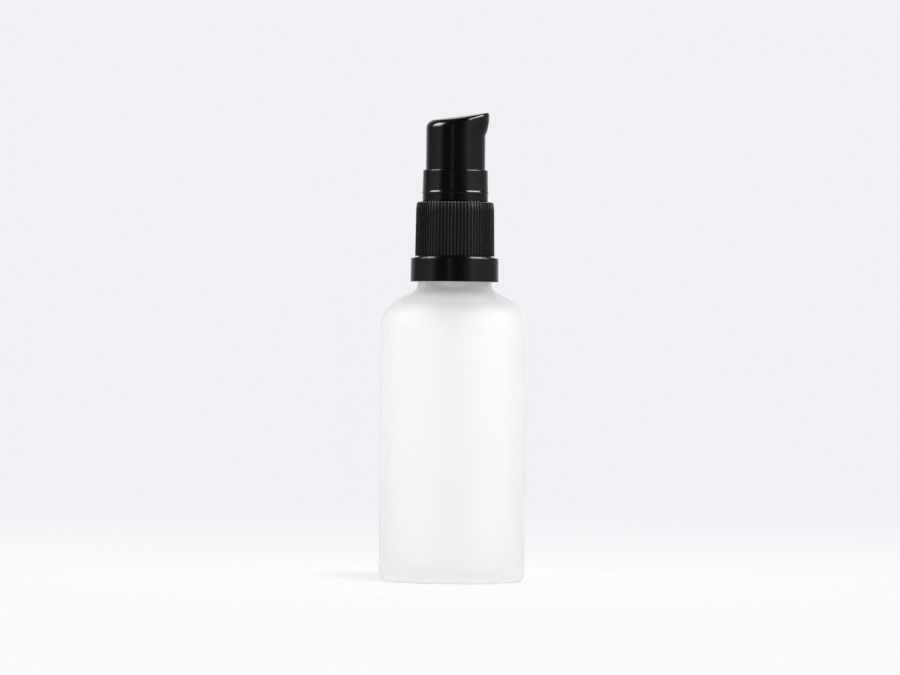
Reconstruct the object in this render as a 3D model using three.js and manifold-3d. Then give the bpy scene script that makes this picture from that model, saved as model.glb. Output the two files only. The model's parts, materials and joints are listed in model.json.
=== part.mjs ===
// Frosted glass oil bottle, 50 ml, with a treatment pump on a tamper-evident screw closure.
//
// Millimetres, +Z up. The origin is the centre of the bottle's foot, on the surface it stands on.
// The actuator's nose points along +X. Every round piece is turned about the Z axis.

import * as THREE from 'three';
import { mergeVertices } from 'three/addons/utils/BufferGeometryUtils.js';
import Module from 'manifold-3d';

const wasm = await Module();
wasm.setup();

const DEGREE = Math.PI / 180;
const TURN = 2 * Math.PI;
const WELD = 2e-3;        // vertices closer than this are one vertex
const SINK = 0.15;        // a piece that is joined to another reaches this far into it
const PAST = 1;           // a cutting tool runs this far past the face that it cuts

// Sides of a full circle, by the size of the piece
const WIDE_SIDES = 40;
const NARROW_SIDES = 32;
const SMALL_SIDES = 24;
const TINY_SIDES = 16;
const BALL_BANDS = 10;

// ---- Driving dimensions ---------------------------------------------------------------------------

const glass = {
  radius: 18.5,
  heel: 2.0,              // radius of the edge between the wall and the foot
  footInside: 14.2,       // the foot is a flat ring from here to the heel
  pushUp: 1.2,            // the underside's rise at the centre
  floor: 4.0,             // top of the glass base at the inner corner
  floorCrown: 0.5,        // the floor's rise at the centre
  innerRadius: 16.6,
  innerCorner: 3.4,
  wallTop: 64.2,          // the shoulder starts here
  shoulder: 8.0,          // radius of the shoulder, outside
  shoulderTurn: 63,       // degrees of that arc, before the straight slope
  neckFillet: 2.5,
  neckRadius: 9.38,
  neckFilletTop: 75.28,
  bore: 6.0,
  boreBottom: 76.0,       // the bore widens into the shoulder below this
};

// The neck's finish: a groove and bead for the tamper ring, then the screw thread
const finish = {
  neckTop: 77.0,
  grooveRadius: 8.6,
  grooveBottom: 77.4,
  grooveTop: 78.6,
  beadRadius: 9.3,
  beadBottom: 79.0,
  beadTop: 80.2,
  rootRadius: 7.9,
  rootBottom: 80.9,
  rim: 92.6,
  rimRounding: 0.6,
};

// 18 mm glass thread, 3 mm pitch, right-handed. Heights are at angle 0, which is +X.
const thread = {
  pitch: 3.0,
  crest: 8.75,            // radius of the bottle's ridge
  start: 84.6,
  turns: 1.4,
  rootHalf: 0.75,         // half widths of the ridge
  crestHalf: 0.35,
  closureCrest: 8.1,      // radius that the closure's ridge reaches inward to
  closureOffset: 1.9,     // the closure's ridge is this far above the bottle's, or 1.1 below the next turn
  closureTurns: 1.25,
  closureRootHalf: 0.7,
  closureCrestHalf: 0.3,
  runOut: 3,              // steps over which a ridge's end rises out of its wall
};

const ring = {
  bottom: 75.8,
  top: 81.8,
  radius: 11.1,
  flare: 0.05,            // the lower edge stands out by this
  chamfer: 0.3,
  inside: 9.75,
  lugs: 8,
  lugReach: 8.95,         // radius that the lugs reach inward to, under the bottle's bead
  lugBottom: 77.7,
  lugTop: 78.4,
  lugSpan: 22,            // degrees
  bridgeTop: 82.1,
  bridgeSpan: 4,          // degrees
  bridgeInside: 9.8,
  bridgeOutside: 10.15,
};

const closure = {
  bottom: 82.3,
  top: 96.0,
  ribs: 72,
  tipTop: 9.9,            // radius of the rib tips under the roof
  tipBottom: 10.05,
  ribDepth: 0.3,
  edge: 0.4,              // rounding of the upper edge
  inside: 9.0,
  roofUnder: 95.05,
  hole: 6.3,
  lipOutside: 9.3,
  lipBottom: 81.0,
};

const gasket = { inside: 4.9, outside: 7.6, bottom: 92.6, top: 93.6 };

const housing = {
  flange: 7.6,
  flangeTop: 94.3,
  barrel: 4.6,
  bore: 3.6,
  ledge: 72.1,            // the ball cage sits here
  valveBore: 2.2,
  coneTop: 70.35,
  coneBottom: 68.6,
  port: 1.0,
  socket: 1.55,           // radius of the dip tube's socket
  socketTop: 67.5,
  bottom: 60.5,
  tail: 2.5,
  tailTop: 68.0,
  taperTop: 71.0,
  ventHeight: 90.0,
  vent: 0.4,
};

const guide = {
  hole: 2.0,              // the stem runs in it
  sleeve: 3.55,
  sleeveBottom: 90.6,
  flange: 7.4,
  flangeTop: 95.0,
  turret: 6.0,
  turretInside: 5.2,
  turretTop: 97.6,
  snap: 6.25,             // radius of the bead that holds the collar down
  snapBottom: 96.85,
  snapFullBottom: 96.95,
  snapFullTop: 97.25,
  boss: 3.0,
  bossTop: 97.0,
};

const collar = {
  bottom: 96.05,
  top: 104.1,
  radius: 8.3,
  inside: 7.7,
  floorTop: 96.75,
  hole: 6.05,
  rounding: 0.25,
  beadLow: 98.15,
  beadHigh: 98.7,
  beadProud: 0.12,
  beadUnder: 0.1,         // height of the bead's underside slope
  beadOver: 0.3,          // height of its upper slope
};

const stem = {
  radius: 1.9,
  bore: 1.0,
  bottom: 85.7,
  top: 108.0,
  stopRadius: 2.9,        // the shoulder that rests under the chaplet's sleeve
  stopBottom: 89.45,
  stopTop: 90.55,
  seatBottom: 104.2,
  seatTop: 104.8,
  chamber: 1.4,
};

const post = { disc: 2.95, discBottom: 83.9, discTop: 84.8, arm: 0.95, armHalf: 0.25, top: 92.0 };

const seal = {
  lip: 3.55,
  lipWall: 0.3,
  lipDepth: 0.5,          // depth of the groove behind each lip
  body: 2.9,
  inside: 1.97,
  bottom: 85.0,
  top: 89.2,
  waistBottom: 86.4,
  waistTop: 87.8,
  waistSlope: 0.4,
};

// The wire is a radius. Each end is closely wound for a part of a turn.
const spring = {
  radius: 2.7,
  wire: 0.28,
  bottom: 73.0,
  top: 83.85,
  turns: 7,
  endTurns: 0.75,
  endPitch: 0.62,
};

const cage = { radius: 3.5, bottom: 72.15, top: 72.85, hole: 0.9, slots: 3, slotHalf: 0.5, slotReach: 2.6 };

const inletBall = { radius: 1.5, centre: 69.9 };
const outletBall = { radius: 1.25, centre: 105.0 };

const tube = { radius: 1.5, bore: 1.0, bottom: 5.2, top: 67.4, cut: 1.5 };

const head = {
  radius: 7.5,
  wall: 0.85,
  bottom: 102.6,
  topAtAxis: 117.6,       // the slanted top, on the axis
  slope: 0.14,            // rise along +X
  crown: 62,              // the top falls to both sides by the square of the distance over this
  edgeBack: 1.8,          // rounding of the upper edge, at the back
  edgeFront: 0.5,
  noseReach: 8.45,
  noseRadius: 6.7,
  noseBottom: 112.9,
  noseRise: 1.8,          // how much higher the nose starts at the sides than in front
  noseFull: 116.7,        // the nose reaches its full length here
  noseEase: 1.8,          // 1 is a straight underside, and more rounds it out
  roof: 1.2,
  socket: 3.0,
  socketBore: 1.95,
  socketBottom: 103.6,
  socketTop: 108.1,
  riser: 1.1,
  channelHeight: 115.6,
  channel: 0.8,
  channelWall: 1.8,       // outside radius of the channel under the roof
  channelDrop: 0.6,       // the outside's axis is this far below the bore's
  mouth: 1.27,
  mouthStart: 6.2,
};

const insert = { radius: 1.2, back: 6.3, front: 7.9, orifice: 0.4, cup: 0.8, cupDepth: 0.9 };

// ---- Materials ------------------------------------------------------------------------------------

const frosted = new THREE.MeshStandardMaterial({ color: 0xe9edee, roughness: 0.55, metalness: 0 });
const blackGloss = new THREE.MeshStandardMaterial({ color: 0x17171a, roughness: 0.22, metalness: 0 });
const blackSatin = new THREE.MeshStandardMaterial({ color: 0x1b1b1e, roughness: 0.38, metalness: 0 });
const naturalPlastic = new THREE.MeshStandardMaterial({ color: 0xe6e4dc, roughness: 0.45, metalness: 0 });
const softPlastic = new THREE.MeshStandardMaterial({ color: 0xf1efe9, roughness: 0.6, metalness: 0 });
const steel = new THREE.MeshStandardMaterial({ color: 0xc4c6c8, roughness: 0.25, metalness: 1 });

// ---- Geometry helpers -----------------------------------------------------------------------------

// Joins shared vertices, drops the triangles that this leaves flat, and turns the faces outward.
function closed(geometry) {
  geometry.deleteAttribute('normal');
  geometry.deleteAttribute('uv');
  const merged = mergeVertices(geometry, WELD);
  const position = merged.attributes.position;
  const corners = merged.index.array;
  const kept = [];
  const [p, q, r] = [new THREE.Vector3(), new THREE.Vector3(), new THREE.Vector3()];
  let volume = 0;
  for (let i = 0; i < corners.length; i += 3) {
    const [a, b, c] = corners.subarray(i, i + 3);
    if (a === b || b === c || c === a) continue;
    kept.push(a, b, c);
    p.fromBufferAttribute(position, a);
    q.fromBufferAttribute(position, b);
    r.fromBufferAttribute(position, c);
    volume += p.dot(q.cross(r)) / 6;
  }
  if (volume < 0) kept.reverse();
  merged.setIndex(kept);
  return merged;
}

function toSolid(geometry) {
  return new wasm.Manifold(new wasm.Mesh({
    numProp: 3,
    vertProperties: new Float32Array(geometry.attributes.position.array),
    triVerts: new Uint32Array(geometry.index.array),
  }));
}

function toGeometry(solid) {
  const mesh = solid.getMesh();
  const geometry = new THREE.BufferGeometry();
  geometry.setAttribute('position', new THREE.BufferAttribute(mesh.vertProperties, 3));
  geometry.setIndex(new THREE.BufferAttribute(mesh.triVerts, 1));
  return closed(geometry);
}

function join(first, ...others) {
  return toGeometry(others.reduce((whole, next) => whole.add(toSolid(next)), toSolid(first)));
}

function cut(body, ...tools) {
  return toGeometry(tools.reduce((left, tool) => left.subtract(toSolid(tool)), toSolid(body)));
}

// Points along an arc in the outline's plane, both ends included. Angles are in degrees from outward.
function arc(radius, height, size, from, to, steps) {
  const points = [];
  for (let i = 0; i <= steps; i++) {
    const angle = (from + (to - from) * i / steps) * DEGREE;
    points.push([radius + size * Math.cos(angle), height + size * Math.sin(angle)]);
  }
  return points;
}

// A closed outline of [radius, height] points, turned about the Z axis.
function turned(outline, sides) {
  const points = [...outline, outline[0]].map(([radius, height]) => new THREE.Vector2(radius, height));
  return closed(new THREE.LatheGeometry(points, sides).rotateX(Math.PI / 2));
}

// A tube with flat ends, about the Z axis. An inside radius of 0 makes a rod.
function sleeve(inside, outside, bottom, top, sides) {
  return turned([[inside, bottom], [outside, bottom], [outside, top], [inside, top]], sides);
}

// Rings of points, each with as many points as the others, joined by side walls and closed at both ends.
function lofted(rings) {
  const count = rings[0].length;
  const last = (rings.length - 1) * count;
  const points = rings.flat();
  const firstCentre = points.push(middle(rings[0])) - 1;
  const lastCentre = points.push(middle(rings[rings.length - 1])) - 1;
  const corners = [];
  for (let i = 0; i < count; i++) {
    const next = (i + 1) % count;
    for (let start = 0; start < last; start += count) {
      corners.push(start + i, start + next, start + count + i);
      corners.push(start + next, start + count + next, start + count + i);
    }
    corners.push(firstCentre, next, i);
    corners.push(lastCentre, last + i, last + next);
  }
  const geometry = new THREE.BufferGeometry().setFromPoints(points);
  geometry.setIndex(corners);
  return closed(geometry);
}

function middle(points) {
  const sum = points.reduce((total, point) => total.add(point), new THREE.Vector3());
  return sum.divideScalar(points.length);
}

// A ridge of trapezoid section along a right-handed helix, sinking into its wall at both ends.
function helicalRidge({ root, crest, rootHalf, crestHalf, start, turns }) {
  const steps = Math.round(turns * SMALL_SIDES);
  const rings = [];
  for (let i = 0; i <= steps; i++) {
    const angle = i / SMALL_SIDES * TURN;
    const height = start + thread.pitch * i / SMALL_SIDES;
    const fade = Math.min(1, (i + 0.3) / thread.runOut, (steps - i + 0.3) / thread.runOut);
    const reach = root + (crest - root) * fade;
    const at = (radius, lift) => new THREE.Vector3(
      radius * Math.cos(angle), radius * Math.sin(angle), height + lift);
    rings.push([at(root, -rootHalf), at(reach, -crestHalf), at(reach, crestHalf), at(root, rootHalf)]);
  }
  return lofted(rings);
}

// A slice of a flat ring, centred on the given angle in degrees.
function sector(inside, outside, angle, span, bottom, top) {
  const from = (angle - span / 2) * DEGREE;
  const to = (angle + span / 2) * DEGREE;
  const outline = new THREE.Shape();
  outline.absarc(0, 0, outside, from, to, false);
  outline.absarc(0, 0, inside, to, from, true);
  const options = { depth: top - bottom, bevelEnabled: false, curveSegments: 2 };
  return closed(new THREE.ExtrudeGeometry(outline, options).translate(0, 0, bottom));
}

// A rod along +X at the given height.
function rodAlongX(radius, from, to, height) {
  const rod = new THREE.CylinderGeometry(radius, radius, to - from, TINY_SIDES);
  return closed(rod.rotateZ(Math.PI / 2).translate((from + to) / 2, 0, height));
}

function ball({ radius, centre }) {
  const sphere = new THREE.SphereGeometry(radius, TINY_SIDES, BALL_BANDS);
  return closed(sphere.rotateX(Math.PI / 2).translate(0, 0, centre));
}

// ---- Bottle and closure ---------------------------------------------------------------------------

// The base's underside, a shallow dome inside the foot.
function undersideOfBase() {
  const steps = 3;
  return Array.from({ length: steps + 1 }, (_, i) => {
    const share = i / steps;
    return [glass.footInside * share, glass.pushUp * (1 - share * share)];
  });
}

function bottleOutline() {
  const g = glass;
  const f = finish;
  const shoulderAt = g.radius - g.shoulder;
  const innerShoulder = g.shoulder - (g.radius - g.innerRadius);
  const slope = 90 - g.shoulderTurn;
  return [
    ...undersideOfBase(),
    ...arc(g.radius - g.heel, g.heel, g.heel, -90, 0, 4),
    ...arc(shoulderAt, g.wallTop, g.shoulder, 0, g.shoulderTurn, 7),
    ...arc(g.neckRadius + g.neckFillet, g.neckFilletTop, g.neckFillet, 270 - slope, 180, 4),
    [g.neckRadius, f.neckTop],
    [f.grooveRadius, f.grooveBottom],
    [f.grooveRadius, f.grooveTop],
    [f.beadRadius, f.beadBottom],
    [f.beadRadius, f.beadTop],
    [f.rootRadius, f.rootBottom],
    ...arc(f.rootRadius - f.rimRounding, f.rim - f.rimRounding, f.rimRounding, 0, 90, 3),
    ...arc(g.bore + f.rimRounding, f.rim - f.rimRounding, f.rimRounding, 90, 180, 3),
    ...arc(g.bore + g.neckFillet, g.boreBottom, g.neckFillet, 180, 270 - slope, 3),
    ...arc(shoulderAt, g.wallTop, innerShoulder, g.shoulderTurn, 0, 5),
    ...arc(g.innerRadius - g.innerCorner, g.floor + g.innerCorner, g.innerCorner, 0, -90, 4),
    [0, g.floor + g.floorCrown],
  ];
}

function glassBottle() {
  const ridge = helicalRidge({
    root: finish.rootRadius - SINK,
    crest: thread.crest,
    rootHalf: thread.rootHalf,
    crestHalf: thread.crestHalf,
    start: thread.start,
    turns: thread.turns,
  });
  return join(turned(bottleOutline(), WIDE_SIDES), ridge);
}

function tamperRing() {
  const band = turned([
    [ring.inside, ring.bottom],
    [ring.radius + ring.flare, ring.bottom],
    [ring.radius, ring.top - ring.chamfer],
    [ring.radius - ring.chamfer, ring.top],
    [ring.inside, ring.top],
  ], WIDE_SIDES);
  const details = [];
  for (let i = 0; i < ring.lugs; i++) {
    const angle = i * 360 / ring.lugs;
    details.push(sector(ring.lugReach, ring.inside + SINK, angle, ring.lugSpan, ring.lugBottom, ring.lugTop));
    details.push(sector(
      ring.bridgeInside, ring.bridgeOutside, angle, ring.bridgeSpan, ring.top - SINK, ring.bridgeTop));
  }
  return join(band, ...details);
}

// The closure's outside at a height: a round with one tip and one valley to each rib.
function ribbedRing(radius, depth, height) {
  const points = [];
  for (let i = 0; i < 2 * closure.ribs; i++) {
    const angle = i / (2 * closure.ribs) * TURN;
    const reach = radius - (i % 2) * depth;
    points.push(new THREE.Vector3(reach * Math.cos(angle), reach * Math.sin(angle), height));
  }
  return points;
}

function ribbedClosure() {
  const c = closure;
  const shell = lofted([
    ribbedRing(c.tipBottom, c.ribDepth, c.bottom),
    ribbedRing(c.tipTop, c.ribDepth, c.top - c.edge),
    ribbedRing(c.tipTop - c.edge, 0, c.top),
  ]);
  const hollow = sleeve(0, c.inside, c.bottom - PAST, c.roofUnder, WIDE_SIDES);
  const hole = sleeve(0, c.hole, c.roofUnder - PAST, c.top + PAST, WIDE_SIDES);
  const lip = sleeve(c.inside, c.lipOutside, c.lipBottom, c.bottom + SINK, WIDE_SIDES);
  const ridge = helicalRidge({
    root: c.inside + SINK,
    crest: thread.closureCrest,
    rootHalf: thread.closureRootHalf,
    crestHalf: thread.closureCrestHalf,
    start: thread.start + thread.closureOffset,
    turns: thread.closureTurns,
  });
  return join(cut(shell, hollow, hole), lip, ridge);
}

function neckGasket() {
  return sleeve(gasket.inside, gasket.outside, gasket.bottom, gasket.top, NARROW_SIDES);
}

// ---- Pump engine ----------------------------------------------------------------------------------

function pumpHousing() {
  const h = housing;
  const body = turned([
    [h.socket, h.bottom],
    [h.tail, h.bottom],
    [h.tail, h.tailTop],
    [h.barrel, h.taperTop],
    [h.barrel, gasket.top],
    [h.flange, gasket.top],
    [h.flange, h.flangeTop],
    [h.bore, h.flangeTop],
    [h.bore, h.ledge],
    [h.valveBore, h.ledge],
    [h.valveBore, h.coneTop],
    [h.port, h.coneBottom],
    [h.port, h.socketTop],
    [h.socket, h.socketTop],
  ], NARROW_SIDES);
  return cut(body, rodAlongX(h.vent, h.bore - PAST, h.barrel + PAST, h.ventHeight));
}

function chaplet() {
  const c = guide;
  return turned([
    [c.hole, c.sleeveBottom],
    [c.sleeve, c.sleeveBottom],
    [c.sleeve, housing.flangeTop],
    [c.flange, housing.flangeTop],
    [c.flange, c.flangeTop],
    [c.turret, c.flangeTop],
    [c.turret, c.snapBottom],
    [c.snap, c.snapFullBottom],
    [c.snap, c.snapFullTop],
    [c.turret, c.turretTop],
    [c.turretInside, c.turretTop],
    [c.turretInside, c.flangeTop],
    [c.boss, c.flangeTop],
    [c.boss, c.bossTop],
    [c.hole, c.bossTop],
  ], NARROW_SIDES);
}

function guideCollar() {
  const c = collar;
  return turned([
    [c.hole, c.bottom],
    [c.radius - c.rounding, c.bottom],
    [c.radius, c.bottom + c.rounding],
    [c.radius, c.beadLow],
    [c.radius + c.beadProud, c.beadLow + c.beadUnder],
    [c.radius + c.beadProud, c.beadHigh - c.beadOver],
    [c.radius, c.beadHigh],
    ...arc(c.radius - c.rounding, c.top - c.rounding, c.rounding, 0, 90, 2),
    [c.inside, c.top],
    [c.inside, c.floorTop],
    [c.hole, c.floorTop],
  ], WIDE_SIDES);
}

function hollowStem() {
  const s = stem;
  return turned([
    [s.bore, s.bottom],
    [s.radius, s.bottom],
    [s.radius, s.stopBottom],
    [s.stopRadius, s.stopBottom],
    [s.stopRadius, s.stopTop],
    [s.radius, s.stopTop],
    [s.radius, s.top],
    [s.chamber, s.top],
    [s.chamber, s.seatTop],
    [s.bore, s.seatBottom],
  ], SMALL_SIDES);
}

// A disc under the piston, with a cross-shaped pin up into the stem. Oil passes between its arms.
function pistonPost() {
  const p = post;
  const height = p.top - p.discTop + SINK;
  const disc = sleeve(0, p.disc, p.discBottom, p.discTop, SMALL_SIDES);
  const arm = new THREE.BoxGeometry(2 * p.arm, 2 * p.armHalf, height).translate(0, 0, p.top - height / 2);
  const crossArm = arm.clone().rotateZ(Math.PI / 2);
  return join(disc, closed(arm), closed(crossArm));
}

function pistonSeal() {
  const s = seal;
  return turned([
    [s.inside, s.bottom],
    [s.body - s.lipWall, s.bottom],
    [s.body, s.bottom + s.lipDepth],
    [s.lip - s.lipWall, s.bottom],
    [s.lip, s.bottom],
    [s.lip, s.waistBottom],
    [s.body, s.waistBottom + s.waistSlope],
    [s.body, s.waistTop - s.waistSlope],
    [s.lip, s.waistTop],
    [s.lip, s.top],
    [s.lip - s.lipWall, s.top],
    [s.body, s.top - s.lipDepth],
    [s.body - s.lipWall, s.top],
    [s.inside, s.top],
  ], SMALL_SIDES);
}

// The spring's wire, with closely wound end turns.
class SpringPath extends THREE.Curve {
  getPoint(t, target = new THREE.Vector3()) {
    const angle = t * spring.turns * TURN;
    const closeWound = spring.endTurns / spring.turns;
    const low = spring.bottom + spring.wire;
    const high = spring.top - spring.wire;
    const closeRise = spring.endPitch * spring.endTurns;
    let height = low + closeRise + (high - low - 2 * closeRise) * (t - closeWound) / (1 - 2 * closeWound);
    if (t < closeWound) height = low + closeRise * t / closeWound;
    if (t > 1 - closeWound) height = high - closeRise * (1 - t) / closeWound;
    return target.set(spring.radius * Math.cos(angle), spring.radius * Math.sin(angle), height);
  }
}

function returnSpring() {
  const section = new THREE.Shape();
  section.absarc(0, 0, spring.wire, 0, TURN, false);
  return closed(new THREE.ExtrudeGeometry(section, {
    extrudePath: new SpringPath(),
    steps: 12 * spring.turns,
    curveSegments: 3,
    bevelEnabled: false,
  }));
}

// A washer with slots that let oil past the ball that it holds down.
function ballCage() {
  const c = cage;
  const washer = sleeve(c.hole, c.radius, c.bottom, c.top, SMALL_SIDES);
  const slots = [];
  for (let i = 0; i < c.slots; i++) {
    const slot = new THREE.BoxGeometry(c.slotReach, 2 * c.slotHalf, 2 * PAST);
    slots.push(closed(slot.translate(c.slotReach / 2, 0, c.bottom).rotateZ(i * TURN / c.slots)));
  }
  return cut(washer, ...slots);
}

// A straight tube whose lower end is cut at a slant, so that the bottle's floor can't close it.
function dipTube() {
  const pipe = sleeve(tube.bore, tube.radius, tube.bottom, tube.top, TINY_SIDES);
  const slant = new THREE.BoxGeometry(4 * tube.radius, 4 * tube.radius, 2 * tube.radius)
    .translate(0, 0, -tube.radius)
    .rotateY(-Math.atan2(tube.cut, 2 * tube.radius))
    .translate(0, 0, tube.bottom + tube.cut / 2);
  return cut(pipe, closed(slant));
}

// ---- Actuator -------------------------------------------------------------------------------------

// How far the head's wall stands from the axis, in a direction and at a height. Towards the top, the
// wall's outline grows into the hull of two circles: its own, and a slightly smaller one ahead of it.
function headRadius(angle, height) {
  const away = Math.abs(angle);
  const start = head.noseBottom + head.noseRise * (1 - Math.cos(away));
  const grown = Math.min(1, Math.max(0, (height - start) / (head.noseFull - start)));
  const growth = 1 - (1 - grown) ** head.noseEase;
  const radius = head.radius + (head.noseRadius - head.radius) * growth;
  const centre = (head.noseReach - head.noseRadius) * growth;
  const tangent = Math.acos((head.radius - head.noseRadius) / (head.noseReach - head.noseRadius));
  if (away >= tangent) return head.radius;
  const touch = Math.atan2(radius * Math.sin(tangent), centre + radius * Math.cos(tangent));
  if (away >= touch) return head.radius / Math.cos(tangent - away);
  return centre * Math.cos(away) + Math.sqrt(radius ** 2 - (centre * Math.sin(away)) ** 2);
}

// The slanted top, crowned from side to side, at a distance from the axis in a direction.
function topHeight(reach, angle) {
  const across = reach * Math.sin(angle);
  return head.topAtAxis + head.slope * reach * Math.cos(angle) - across * across / head.crown;
}

// The head's outside, lofted from its lower edge up the wall and over the rounded rim to the top.
function headOutside() {
  const wallSteps = 9;
  const rimSteps = 3;
  const topSteps = 2;
  const directions = Array.from({ length: WIDE_SIDES }, (_, i) => (i / WIDE_SIDES - 0.5) * TURN);
  const ringOf = (place) => directions.map(place);
  const point = (angle, reach, height) => new THREE.Vector3(
    reach * Math.cos(angle), reach * Math.sin(angle), height);
  const rim = (angle) => {
    const share = (Math.cos(angle) + 1) / 2;
    const rounding = head.edgeBack + (head.edgeFront - head.edgeBack) * share;
    return { rounding, wallTop: topHeight(head.radius, angle) - rounding };
  };
  const rings = [ringOf((angle) => point(angle, head.radius, head.bottom))];
  for (let i = 0; i <= wallSteps; i++) {
    rings.push(ringOf((angle) => {
      const height = head.noseBottom + (rim(angle).wallTop - head.noseBottom) * i / wallSteps;
      return point(angle, headRadius(angle, height), height);
    }));
  }
  for (let i = 1; i <= rimSteps; i++) {
    const turn = i / rimSteps * Math.PI / 2;
    rings.push(ringOf((angle) => {
      const { rounding, wallTop } = rim(angle);
      const reach = headRadius(angle, wallTop) - rounding * (1 - Math.cos(turn));
      const rise = topHeight(reach, angle) - topHeight(head.radius, angle);
      return point(angle, reach, wallTop + (rounding + rise) * Math.sin(turn));
    }));
  }
  for (let i = 1; i <= topSteps; i++) {
    rings.push(ringOf((angle) => {
      const { rounding, wallTop } = rim(angle);
      const reach = (headRadius(angle, wallTop) - rounding) * (1 - i / (topSteps + 1));
      return point(angle, reach, topHeight(reach, angle));
    }));
  }
  return lofted(rings);
}

// The space inside the skirt, up to a roof of even thickness.
function headHollow() {
  const inside = head.radius - head.wall;
  const ringAt = (height) => Array.from({ length: NARROW_SIDES }, (_, i) => {
    const angle = i / NARROW_SIDES * TURN;
    return new THREE.Vector3(inside * Math.cos(angle), inside * Math.sin(angle), height(angle));
  });
  return lofted([
    ringAt(() => head.bottom - PAST),
    ringAt((angle) => topHeight(inside, angle) - head.roof),
  ]);
}

function actuator() {
  const h = head;
  const stemSocket = sleeve(0, h.socket, h.socketBottom, h.topAtAxis - h.roof / 2, SMALL_SIDES);
  const channelWall = rodAlongX(h.channelWall, 0, h.radius - h.wall / 2, h.channelHeight - h.channelDrop);
  const shell = join(cut(headOutside(), headHollow()), stemSocket, channelWall);
  const socketBore = sleeve(0, h.socketBore, h.socketBottom - PAST, h.socketTop, SMALL_SIDES);
  const riser = sleeve(0, h.riser, h.socketTop - PAST, h.channelHeight, TINY_SIDES);
  const channel = rodAlongX(h.channel, 0, h.mouthStart + PAST, h.channelHeight);
  const mouth = rodAlongX(h.mouth, h.mouthStart, h.noseReach + PAST, h.channelHeight);
  return cut(shell, socketBore, riser, channel, mouth);
}

// A bush in the nose: a small orifice, widened to a cup at its front.
function nozzleInsert() {
  const n = insert;
  const outline = [
    [n.orifice, n.back],
    [n.radius, n.back],
    [n.radius, n.front],
    [n.cup, n.front],
    [n.orifice, n.front - n.cupDepth],
  ];
  return turned(outline, TINY_SIDES).rotateY(Math.PI / 2).translate(0, 0, head.channelHeight);
}

// ---- Assembly -------------------------------------------------------------------------------------

const pumpOilBottle = new THREE.Group();

function add(name, geometry, material) {
  const mesh = new THREE.Mesh(geometry, material);
  mesh.name = name;
  pumpOilBottle.add(mesh);
}

add('glass_bottle', glassBottle(), frosted);
add('tamper_ring', tamperRing(), blackSatin);
add('ribbed_closure', ribbedClosure(), blackSatin);
add('neck_gasket', neckGasket(), softPlastic);
add('pump_housing', pumpHousing(), naturalPlastic);
add('chaplet', chaplet(), naturalPlastic);
add('guide_collar', guideCollar(), blackGloss);
add('stem', hollowStem(), naturalPlastic);
add('piston_post', pistonPost(), naturalPlastic);
add('piston_seal', pistonSeal(), softPlastic);
add('return_spring', returnSpring(), steel);
add('ball_cage', ballCage(), naturalPlastic);
add('inlet_ball', ball(inletBall), steel);
add('outlet_ball', ball(outletBall), steel);
add('dip_tube', dipTube(), softPlastic);
add('actuator', actuator(), blackGloss);
add('nozzle_insert', nozzleInsert(), blackSatin);

export default pumpOilBottle;
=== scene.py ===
"""Looks of the pump oil bottle: a frosted glass bottle with a black treatment pump.

Each CAD node is replaced by a finely made piece of the same size on the same body. Outlines are in
millimetres, as (distance from the axis, height), and go round the piece anticlockwise, with the axis on
the left. The scene itself is in metres.
"""

import json
import math

import bpy
from mathutils import Matrix, Vector


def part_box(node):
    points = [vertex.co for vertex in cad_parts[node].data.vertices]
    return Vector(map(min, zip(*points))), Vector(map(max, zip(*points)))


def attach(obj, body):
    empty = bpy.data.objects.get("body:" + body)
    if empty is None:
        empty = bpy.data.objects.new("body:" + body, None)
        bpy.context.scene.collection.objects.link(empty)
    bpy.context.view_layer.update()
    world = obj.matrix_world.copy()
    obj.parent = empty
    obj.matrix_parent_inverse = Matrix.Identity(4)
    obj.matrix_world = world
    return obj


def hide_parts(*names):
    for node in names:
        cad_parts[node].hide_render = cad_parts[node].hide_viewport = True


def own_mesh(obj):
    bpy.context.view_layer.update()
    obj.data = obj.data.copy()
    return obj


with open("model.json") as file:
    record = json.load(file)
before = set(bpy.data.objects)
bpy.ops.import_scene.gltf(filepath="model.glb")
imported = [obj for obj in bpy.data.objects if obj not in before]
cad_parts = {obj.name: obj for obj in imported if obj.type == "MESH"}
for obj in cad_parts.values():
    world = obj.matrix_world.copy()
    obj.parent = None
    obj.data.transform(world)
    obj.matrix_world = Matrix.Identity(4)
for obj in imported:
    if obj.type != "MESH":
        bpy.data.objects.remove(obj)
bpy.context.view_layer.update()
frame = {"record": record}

MM = 0.001
TURN = 2 * math.pi
SHARP = math.radians(32)        # edges that turn more than this stay crisp

BODY_OF = {node: body for body, nodes in frame["record"]["behaviour"]["bodies"].items() for node in nodes}


# ---- Shapes ---------------------------------------------------------------------------------------

def span(node):
    """A round CAD node's radius, lowest and highest point, in mm."""
    low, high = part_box(node)
    return high.y / MM, low.z / MM, high.z / MM


def arc(radius, height, size, start, end, steps):
    """Points along an arc, both ends included. Angles are in degrees from outward, upward positive."""
    angles = [math.radians(start + (end - start) * i / steps) for i in range(steps + 1)]
    return [(radius + size * math.cos(a), height + size * math.sin(a)) for a in angles]


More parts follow.
